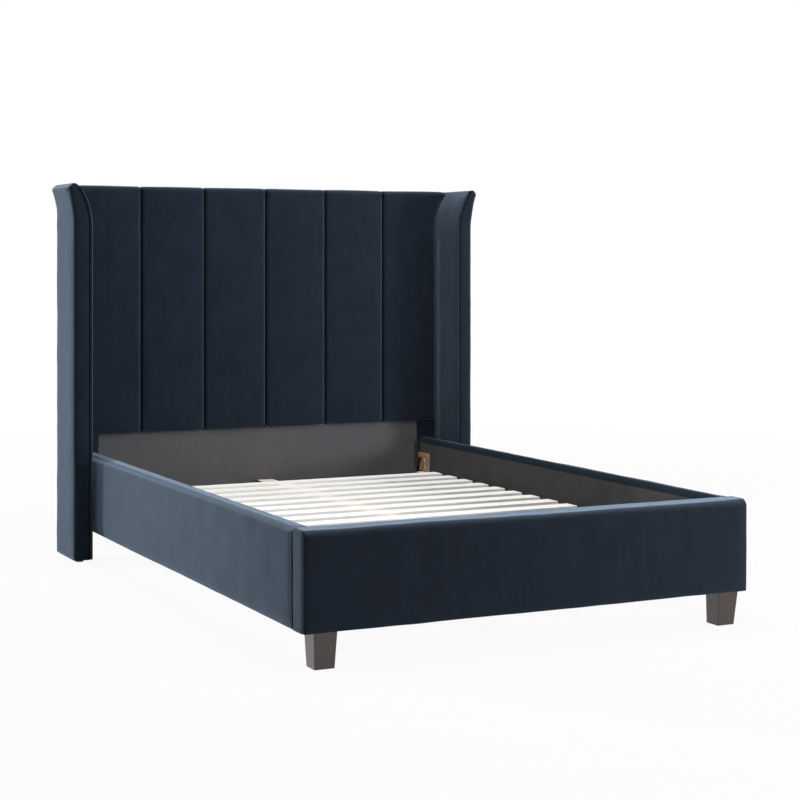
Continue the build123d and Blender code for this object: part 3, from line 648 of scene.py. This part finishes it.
# It lifts a little between the staples, lies flat on the timber, and hangs in a
# few millimetres over the openings.
along_edge = np.where(from_side < from_end,
                      (points[:, 2] - rim_low) / (rim_high - rim_low) * upright_count,
                      (points[:, 0] - rim_left) / (rim_right - rim_left) * across_count)
lift = np.abs(np.cos(along_edge * math.pi)) * np.exp(-np.minimum(from_side, from_end) / 0.03) * 0.0010
hang = np.ones(len(points))
for timber_name in frame_uprights + frame_rails:
    low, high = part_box(timber_name)
    beyond_side = np.maximum(low.x - points[:, 0], points[:, 0] - high.x)
    beyond_end = np.maximum(low.z - points[:, 2], points[:, 2] - high.z)
    beyond = np.maximum(np.maximum(beyond_side, beyond_end), 0)
    hang = np.minimum(hang, 1 - np.exp(-beyond / 0.05))
points[:, 1] += lift - 0.0002 - hang * (0.0035 + 0.0015 * ripple(points, 0.4, 21))
shift_points(back_cloth, points)
finish_piece(back_cloth, "root", "black_dust_cloth", "headboard_back_cloth")


# Staples: bright wire staples hold the back cloth all round, three fingers
# apart, with their crowns along the edge and their legs in the timber.
def ring_faces(rings, around, first=0):
    """The faces between closed rings of points that follow each other."""
    corners = [(first + ring * around + k, first + ring * around + (k + 1) % around)
               for ring in range(rings - 1) for k in range(around)]
    return [(here, following, following + around, here + around) for here, following in corners]


def wire_piece(name, paths, radius, material):
    """Thin round wires bent along paths."""
    wire_points, wire_faces = [], []
    sides = 8
    for path in paths:
        first = len(wire_points)
        for place, spot in enumerate(path):
            before, after = path[max(place - 1, 0)], path[min(place + 1, len(path) - 1)]
            along = (Vector(after) - Vector(before)).normalized()
            across = along.orthogonal().normalized()
            if place:
                across = (last_across - along * last_across.dot(along)).normalized()
            last_across = across
            upright = along.cross(across)
            for k in range(sides):
                angle = 2 * math.pi * k / sides
                outwards = across * math.cos(angle) + upright * math.sin(angle)
                wire_points.append(Vector(spot) + radius * outwards)
        wire_faces += ring_faces(len(path), sides, first)
        wire_faces.append(list(range(first, first + sides)))
        wire_faces.append(list(range(len(wire_points) - sides, len(wire_points))))
    return new_piece(name, wire_points, wire_faces, material)


def metal(name, first, second, shine, scale=70.0, metallic=1.0):
    """Plated or coated steel whose colour drifts a little over the surface."""
    steel = Recipe(bpy.data.materials.new(name))
    drift = steel.spread(steel.noise(scale, 4.0, 0.6), 0.35, 0.65)
    scratches = steel.noise(30.0, 3.0, 0.6, steel.stretched((40.0, 40.0, 2.0)))
    share = 0.5 * drift + 0.5 * steel.spread(scratches, 0.35, 0.65)
    return steel.surface({
        "Base Color": steel.blend(share, first, second),
        "Metallic": metallic,
        "Roughness": shine + 0.15 * scratches,
        "Normal": steel.bump(scratches, 0.2, 0.0003),
    })


bright_zinc = metal("bright_zinc", (0.55, 0.56, 0.58, 1), (0.72, 0.72, 0.72, 1), 0.25)
half_crown, staple_wire = 0.0052, 0.0005
crown_depth, leg_depth = cloth_high.y - 0.0004, cloth_high.y - 0.0030
staple_bend = [(-half_crown, leg_depth), (-half_crown, crown_depth),
               (half_crown, crown_depth), (half_crown, leg_depth)]
staple_paths = []
for k in range(across_count):
    middle = rim_left + (rim_right - rim_left) * (k + 0.5) / across_count
    staple_paths += [[(middle + step, depth, z) for step, depth in staple_bend]
                     for z in (rim_low, rim_high)]
for k in range(upright_count):
    middle = rim_low + (rim_high - rim_low) * (k + 0.5) / upright_count
    staple_paths += [[(x, depth, middle + step) for step, depth in staple_bend]
                     for x in (rim_left, rim_right)]
staples = wire_piece("back_cloth_staples", staple_paths, staple_wire, bright_zinc)
finish_piece(staples, "root", "bright_zinc_bolt")


# Wings: a shaped core in a padded velvet cover. They stand on the floor at each
# side of the headboard and flare outwards at the top. The velvet is sewn to a
# piping along the inner front edge, and pulls into small folds at the flare.
wing_front, wing_back, wing_bottom = wing_low.y, wing_high.y, wing_low.z
inner_line, outer_line = wing_low.x, 0.8195
tip_inner, tip_peak, tip_outer = (0.800, flare_top), (0.823, 1.366), (0.8445, 1.346)
outer_flare_radius = 0.377


def circle_through(a, b, c):
    """Centre and radius of the circle through three points."""
    ax, ay, bx, by, cx, cy = *a, *b, *c
    d = 2 * (ax * (by - cy) + bx * (cy - ay) + cx * (ay - by))
    aa, bb, cc = ax ** 2 + ay ** 2, bx ** 2 + by ** 2, cx ** 2 + cy ** 2
    ux = (aa * (by - cy) + bb * (cy - ay) + cc * (ay - by)) / d
    uy = (aa * (cx - bx) + bb * (ax - cx) + cc * (bx - ax)) / d
    return (ux, uy), math.hypot(ax - ux, ay - uy)


def wing_sections():
    """The wing's inner and outer line from the floor to the tip, and how far its ends are drawn in."""
    sections = []
    for climb, inset in ((0.0, 0.0032), (0.0008, 0.0014), (0.0030, 0.0)):
        z = wing_bottom + climb
        sections.append(((inner_line + inset, z), (outer_line - inset, z), inset))
    start, fold_start, low_rows, fold_rows = wing_bottom + 0.003, 1.170, 70, 14
    heights = [start + (fold_start - start) * k / low_rows for k in range(1, low_rows)]
    heights += [fold_start + (flare_start - fold_start) * k / fold_rows for k in range(fold_rows)]
    sections += [((inner_line, z), (outer_line, z), 0.0) for z in heights]
    inner_turn = math.asin((tip_inner[1] - flare_start) / flare_radius)
    outer_turn = math.asin((tip_outer[1] - flare_start) / outer_flare_radius)
    rows = 54
    for k in range(rows + 1):
        a, b = inner_turn * k / rows, outer_turn * k / rows
        inner = (inner_line + flare_radius * (1 - math.cos(a)), flare_start + flare_radius * math.sin(a))
        outer = (outer_line + outer_flare_radius * (1 - math.cos(b)),
                 flare_start + outer_flare_radius * math.sin(b))
        sections.append((inner, outer, 0.0))
    centre, radius = circle_through(tip_inner, tip_peak, tip_outer)
    angles = [math.atan2(p[1] - centre[1], p[0] - centre[0]) for p in (tip_inner, tip_peak, tip_outer)]
    rows = 12
    for k in range(1, rows + 1):
        share = math.sin(math.radians(90) * k / rows)
        pair = []
        for end in (angles[0], angles[2]):
            angle = end + (angles[1] - end) * share
            pair.append((centre[0] + radius * math.cos(angle), centre[1] + radius * math.sin(angle)))
        sections.append((pair[0], pair[1], 0.008 * (1 - math.sqrt(max(0.0, 1 - (k / rows) ** 2)))))
    return sections


def front_lean(height):
    """How far the tip leans forward, out of the wing's straight front."""
    lean_start, lean_climb, tip_lean = 1.18, 0.17, 0.004
    return tip_lean * max(0.0, min(1.0, (height - lean_start) / lean_climb)) ** 2


# The velvet dips beside the piping and rises again to the padded front face:
# distances across from the wing's inner face and back from its front.
piping_dip = [(0.0, 0.0120), (0.0002, 0.0092), (0.0010, 0.0070), (0.0032, 0.0064),
              (0.0054, 0.0068), (0.0070, 0.0062), (0.0080, 0.0042), (0.0094, 0.0022),
              (0.0118, 0.0009), (0.0155, 0.0001), (0.0195, 0.0)]
full_thickness = 0.055


def wing_loop(inner, outer, drawn):
    """One closed ring round the wing between its inner and outer line."""
    thickness = max(math.dist(inner, outer), 1e-6)
    front, back = wing_front + drawn, wing_back - drawn
    size = min(1.0, thickness / full_thickness)
    front_turn, back_turn = 0.016 * size, 0.005 * size
    dip = [(a * size, front + depth * size) for a, depth in piping_dip]
    ring = dip + run(dip[-1], (thickness - front_turn, front), 5)
    ring += quarter((thickness - front_turn, front + front_turn), front_turn, 270, 8)
    ring += run((thickness, front + front_turn), (thickness, back - back_turn), 24)
    ring += quarter((thickness - back_turn, back - back_turn), back_turn, 0, 5)
    ring += run((thickness - back_turn, back), (back_turn, back), 7)
    ring += quarter((back_turn, back - back_turn), back_turn, 90, 5)
    ring += run((0, back - back_turn), dip[0], 24)
    step_x, step_z = (outer[0] - inner[0]) / thickness, (outer[1] - inner[1]) / thickness
    lean = front_lean(inner[1])
    # The outer face flares a little later at its back, and its front edge is drawn
    # in to a soft shoulder under the tip.
    late = 0.0065 * max(0.0, min(1.0, (outer[1] - 1.225) / 0.055))
    points = []
    for a, y in ring:
        behind = max(0.0, (y - front) / (back - front))
        shoulder = 0.005 * max(0.0, min(1.0, (outer[1] - 1.300) / 0.040)) * math.exp(-(behind / 0.11) ** 2)
        drawn_in = (late * behind ** 2 + shoulder * a / thickness) * a / thickness
        points.append((inner[0] + step_x * a - drawn_in, y - lean * (1 - behind), inner[1] + step_z * a))
    return points


def piping_shade_mask(cloth):
    """1 in the crease between a wing's piping and its padded front, which is painted near black as shade.
    """
    climb = (cloth.along("Z") - flare_start).at_least(0.0)
    flared = flare_radius - (flare_radius ** 2 - climb * climb) ** 0.5
    from_middle = abs(abs(cloth.along("X")) - flared - (inner_line + 0.0068))
    in_front = 1.0 - cloth.spread(cloth.along("Y"), wing_front + 0.008, wing_front + 0.012)
    return (1.0 - cloth.spread(from_middle, 0.0024, 0.0050)) * in_front


# The wings' velvet carries painted shade in the crease beside the piping.
wing_velvet = velvet("navy_velvet_wings_piping_shade", navy_dark, navy_light, crease=piping_shade_mask)
wing_rings = [wing_loop(*section) for section in wing_sections()]
ring_size = len(wing_rings[0])
for side, name in ((1, "right"), (-1, "left")):
    wing_points = [(side * x, y, z) for ring in wing_rings for x, y, z in ring]
    wing_faces = ring_faces(len(wing_rings), ring_size) + [list(range(ring_size))]
    wing = new_piece(name + "_wing_padding", wing_points, wing_faces, wing_velvet)
    points, normals = points_of(wing)
    height = points[:, 2]
    behind = np.clip((points[:, 1] - wing_front) / (wing_back - wing_front), 0, 1)
    outward = normals[:, 0] * side
    on_outer = np.clip(outward * 1.6, 0, 1)
    fan = height - 0.10 * behind
    pulls = np.sin(fan * 2 * math.pi / 0.0105 + 1.4 * ripple(points, 0.06, 31)) * on_outer
    pulls *= np.exp(-((height - 1.262) / 0.021) ** 2) * np.exp(-((behind - 0.10) / 0.14) ** 2) * 0.0015
    waver = 0.0005 * ripple(points, 0.22, 32 + side) + 0.0003 * ripple(points, 0.07, 35 + side)
    in_dip = points[:, 1] < wing_front + 0.0130
    in_dip &= (np.abs(points[:, 0]) - inner_line - flare_out(height)) < 0.0135
    free = np.where(in_dip | (height > 1.345), 0.0, 1.0)
    plump = 0.0014 * (1 - (2 * behind - 1) ** 4) * np.abs(outward)
    points += normals * ((plump + pulls + waver - 0.0006) * free)[:, None]
    shift_points(wing, points)
    by_pad = (outward < -0.5) & (points[:, 1] > pad_low.y - 0.012)
    held = in_dip | by_pad | (behind > 0.95) | (height > 1.335) | (height < wing_bottom + 0.012)
    held |= (outward > 0.35) & (behind < 0.10)
    settle(wing, held, 0.0022)
    finish_piece(wing, "root", "navy_velvet", name + "_wing_cover")
dress(["left_wing_core", "right_wing_core"], board_wood)

# Piping: a cord in a strip of the same velvet, sewn in along the inner front
# edge of each wing, from the floor up and over the flare.
piping_radius = 0.0042
# The piping's velvet is coloured lighter than the rest: a painted highlight along the cord.
piping_highlight_velvet = velvet("navy_velvet_piping_highlight", (0.0080, 0.0130, 0.0220, 1), (0.0150, 0.0230, 0.0360, 1))
piped_sections = [(inner, outer) for inner, outer, drawn in wing_sections()[2:] if drawn == 0.0]
piping_out, piping_back = 0.0002, 0.0008
for side, name in ((1, "right"), (-1, "left")):
    strip_points, sides = [], 14
    for inner, outer in piped_sections:
        thickness = math.dist(inner, outer)
        out_x, out_z = (outer[0] - inner[0]) / thickness, (outer[1] - inner[1]) / thickness
        middle = (inner[0] + piping_out * out_x, wing_front + piping_back - front_lean(inner[1]),
                  inner[1] + piping_out * out_z)
        for k in range(sides):
            angle = 2 * math.pi * k / sides
            a, b = piping_radius * math.cos(angle), piping_radius * math.sin(angle)
            strip_points.append((side * (middle[0] + a * out_x), middle[1] + b, middle[2] + a * out_z))
    strip_faces = ring_faces(len(piped_sections), sides)
    strip_faces.append(list(range(sides)))
    strip_faces.append([(len(piped_sections) - 1) * sides + k for k in range(sides)])
    piping = new_piece(name + "_piping_cover", strip_points, strip_faces, piping_highlight_velvet)
    points, normals = points_of(piping)
    points += normals * (0.0002 * ripple(points, 0.015, 41 + side))[:, None]
    shift_points(piping, points)
    finish_piece(piping, "root", "navy_velvet", name + "_wing_piping")


# Side rails: a board wrapped in foam and velvet. The velvet is turned down a
# little way inside, where a plain dark lining covers its edge. The right rail's
# velvet has a third of the sheen, painted shade that keeps it dark from the foot end.
def smooth_once(piece):
    """One subdivision, which rounds the cloth between its points."""
    finer = piece.modifiers.new("finer_cloth", "SUBSURF")
    finer.levels = finer.render_levels = 1


lining_cloth = weave("dark_lining", (0.030, 0.029, 0.031, 1), (0.052, 0.050, 0.052, 1), 0.0010)
# A copy of the velvet with a third of the sheen: painted shade for the right rail.
shaded_rail_velvet = velvet("navy_velvet_rail_shade", navy_dark, navy_light, 0.30)
lining_top = 0.905  # of the rail's height
for side, name in ((1, "right"), (-1, "left")):
    low, high = (list(corner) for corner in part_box(name + "_rail_cover"))
    low[2] -= 0.0012
    radii_x = (0.006, 0.020) if side > 0 else (0.020, 0.006)
    facing_cloth = shaded_rail_velvet if side > 0 else navy_velvet
    rail = soft_block(name + "_rail_padding", low, high, [radii_x, (0.002, 0.004), (0.0025, 0.016)],
                      (0.012, 0.014, 0.012), facing_cloth)
    points, normals = points_of(rail)
    outward = normals[:, 0] * side
    height_share = (points[:, 2] - low[2]) / (high[2] - low[2])
    crown = 0.0018 * (1 - (2 * height_share - 1) ** 6) * np.clip(outward, 0, 1)
    waver = 0.0006 * ripple(points, 0.35, 51 + side) + 0.0003 * ripple(points, 0.10, 54 + side)
    inside = outward < -0.3
    points += normals * np.where(inside, -0.0012 * (height_share < lining_top), crown + waver)[:, None]
    shift_points(rail, points)
    at_ends = (points[:, 1] < low[1] + 0.006) | (points[:, 1] > high[1] - 0.010)
    settle(rail, inside | at_ends | (points[:, 2] < low[2] + 0.006), 0.0020)
    smooth_once(rail)
    finish_piece(rail, "root", "navy_velvet", name + "_rail_cover")
    lining = soft_block(name + "_lining_cloth", *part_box(name + "_rail_lining"),
                        [(0.0012, 0.0012), (0.001, 0.001), (0.0012, 0.0012)],
                        (0.02, 0.02, 0.02), lining_cloth)
    points, normals = points_of(lining)
    shift_points(lining, points + normals * (0.0003 * ripple(points, 0.12, 57 + side) - 0.0003)[:, None])
    finish_piece(lining, "root", "lining_cloth", name + "_rail_lining")
dress(["left_rail_board", "right_rail_board"], lengthwise_wood, 0.001)

# Foot rail: a thicker padded board, its velvet wrapped round both ends, so that
# the side rails butt against its back and leave an upright seam at each corner.
foot_low, foot_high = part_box("foot_rail_cover")
foot_low.z -= 0.0018
foot_low.x, foot_high.x = foot_low.x - 0.0015, foot_high.x + 0.0015
foot_rail = soft_block("foot_rail_padding", foot_low, foot_high,
                       [(0.009, 0.009), (0.022, 0.008), (0.0025, 0.018)],
                       (0.014, 0.008, 0.012), navy_velvet)
points, normals = points_of(foot_rail)
height_share = (points[:, 2] - foot_low.z) / (foot_high.z - foot_low.z)
crown = 0.0018 * (1 - (2 * height_share - 1) ** 6) * np.clip(-normals[:, 1], 0, 1)
inside = normals[:, 1] > 0.3
waver = 0.0007 * ripple(points, 0.33, 61) + 0.0003 * ripple(points, 0.09, 62)
from_end = foot_high.x - np.abs(points[:, 0])
from_front = points[:, 1] - foot_low.y
pleat = 0.0022 * np.exp(-((from_end - from_front) / 0.0028) ** 2) * np.exp(-(from_end / 0.030) ** 2)
pleat *= np.clip((height_share - 0.93) / 0.05, 0, 1)
points += normals * np.where(inside, -0.0012 * (height_share < lining_top), crown + waver - pleat)[:, None]
shift_points(foot_rail, points)
side_rails_from = 0.690
by_side_rail = (points[:, 1] > foot_high.y - 0.014) & (np.abs(points[:, 0]) > side_rails_from)
at_ends = np.abs(normals[:, 0]) > 0.35
settle(foot_rail, inside | by_side_rail | at_ends | (points[:, 2] < foot_low.z + 0.006), 0.0020)
smooth_once(foot_rail)
finish_piece(foot_rail, "root", "navy_velvet", "foot_rail_cover")
foot_lining = soft_block("foot_lining_cloth", *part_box("foot_rail_lining"),
                         [(0.001, 0.001), (0.0012, 0.0012), (0.0012, 0.0012)],
                         (0.02, 0.02, 0.02), lining_cloth)
finish_piece(foot_lining, "root", "lining_cloth", "foot_rail_lining")
dress(["foot_rail_board"], cross_wood, 0.001)

# Slats, ledges and beam: planed white softwood slats lie across two ledges and
# a centre beam, which a cradle carries at each end and two legs between.
slat_wood = timber("white_slat_wood", (0.955, 0.945, 0.925, 1), (0.90, 0.875, 0.83, 1), 0, 0.8, 0.1)
slats = sorted(name for name in nodes if name.startswith("slat_"))
dress(slats, slat_wood, 0.0015)
beam_pale, beam_deep = (0.80, 0.72, 0.58, 1), (0.66, 0.54, 0.38, 1)
pale_lengthwise = timber("pale_lengthwise_wood", beam_pale, beam_deep, 1, 0.8)
dress(["left_slat_ledge", "right_slat_ledge", "centre_beam"], pale_lengthwise, 0.0008)
leg_wood = timber("pale_leg_wood", beam_pale, beam_deep, 2, 0.8)
dress(["front_centre_leg", "rear_centre_leg"], leg_wood, 0.0005)


# Block feet: dark brown lacquered wood, tapered on the outer and front faces. A
# hanger bolt in the top holds each foot under the foot rail.
def lacquer(name):
    """Dark brown satin lacquer over wood, with a faint upright grain."""
    wood = Recipe(bpy.data.materials.new(name))
    grain = wood.noise(5.0, 5.0, 0.6, wood.stretched((60.0, 60.0, 5.0)))
    figure = wood.spread(grain, 0.35, 0.7)
    return wood.surface({
        "Base Color": wood.blend(figure, (0.020, 0.010, 0.009, 1), (0.048, 0.027, 0.025, 1)),
        "Roughness": 0.40 + 0.10 * figure,
        "Normal": wood.bump(figure, 0.08, 0.0003),
        "Specular IOR Level": 0.1,
        "Coat Weight": 1.0,
        "Coat Roughness": 0.24,
        "Coat IOR": 1.55,
    })


dress(["left_foot", "right_foot"], lacquer("dark_lacquer"), 0.0012)


# Hardware: yellow zinc hook plates, black keeper plates, corner brackets and
# beam cradles, bright zinc bolts, and black plastic glides and levelling feet.
yellow_zinc = metal("yellow_zinc", (0.84, 0.42, 0.20, 1), (1.0, 0.78, 0.54, 1), 0.32, 45.0, 0.6)
dress(["left_hook_plate", "right_hook_plate"], yellow_zinc, 0.0006)
dress(["frame_bolts", "wing_bolts"], bright_zinc, 0.0004)


def moulded(name, dark, light, gloss, grain):
    """Black plastic or powder coat with a fine grain."""
    plastic = Recipe(bpy.data.materials.new(name))
    speckle = plastic.noise(grain, 3.0, 0.6)
    return plastic.surface({
        "Base Color": plastic.blend(speckle, dark, light),
        "Roughness": gloss + 0.1 * speckle,
        "Normal": plastic.bump(speckle, 0.3, 0.0002),
    })


black_coat = moulded("black_coat", (0.010, 0.010, 0.011, 1), (0.022, 0.022, 0.024, 1),
                     0.45, 900.0)
black_plastic = moulded("black_plastic", (0.008, 0.008, 0.008, 1), (0.018, 0.018, 0.018, 1),
                        0.38, 500.0)
dress(["left_corner_bracket", "right_corner_bracket", "beam_cradles", "keeper_plates"], black_coat, 0.0005)
dress(["headboard_glides", "front_levelling_foot", "rear_levelling_foot"], black_plastic, 0.0005)


# Small screws: two hold each keeper plate to the headboard and two each cradle.
# They are black, with domed heads and a cross recess, and lie on the plate.
def screw_head(centre, facing):
    """Points and faces of a domed head with a cross recess, looking along -Y or +Y."""
    rings, turns = 9, 32
    recess_middle, recess_floor, recess_half = 0.0007, 0.0006, 0.00045
    head_points = [(centre[0], centre[1] + facing * recess_middle, centre[2])]
    for ring in range(1, rings + 1):
        radius = head_radius * ring / rings
        rise = head_rise * math.sqrt(max(0.0, 1 - (ring / rings) ** 2))
        for k in range(turns):
            angle = 2 * math.pi * k / turns
            x, z = radius * math.cos(angle), radius * math.sin(angle)
            in_cross = min(abs(x), abs(z)) < recess_half and radius < 0.55 * head_radius
            lift = recess_floor if in_cross else rise
            head_points.append((centre[0] + x, centre[1] + facing * lift, centre[2] + z))
    head_faces = [(0, 1 + k, 1 + (k + 1) % turns) for k in range(turns)]
    head_faces += ring_faces(rings, turns, 1)
    head_faces.append([1 + (rings - 1) * turns + k for k in range(turns)])
    return head_points, head_faces


head_radius, head_rise = 0.0036, 0.0019
keeper_face, foot_cradle_face = 0.9715, -0.9375
keeper_screw_x, keeper_screw_z = 0.66825, (0.274, 0.336)
cradle_screw_x, cradle_screw_z = 0.01675, 0.18775
screw_places = [((side * keeper_screw_x, keeper_face, z), -1)
                for side in (-1, 1) for z in keeper_screw_z]
screw_places += [((side * cradle_screw_x, face, cradle_screw_z), turned) for side in (-1, 1)
                 for face, turned in ((keeper_face, -1), (foot_cradle_face, 1))]
screw_points, screw_faces = [], []
for centre, facing in screw_places:
    head_points, head_faces = screw_head(centre, facing)
    screw_faces += [[len(screw_points) + k for k in face] for face in head_faces]
    screw_points += head_points
screws = new_piece("small_screws", screw_points, screw_faces, black_coat)
finish_piece(screws, "root", "black_steel")

bpy.context.scene.view_settings.view_transform = "Standard"
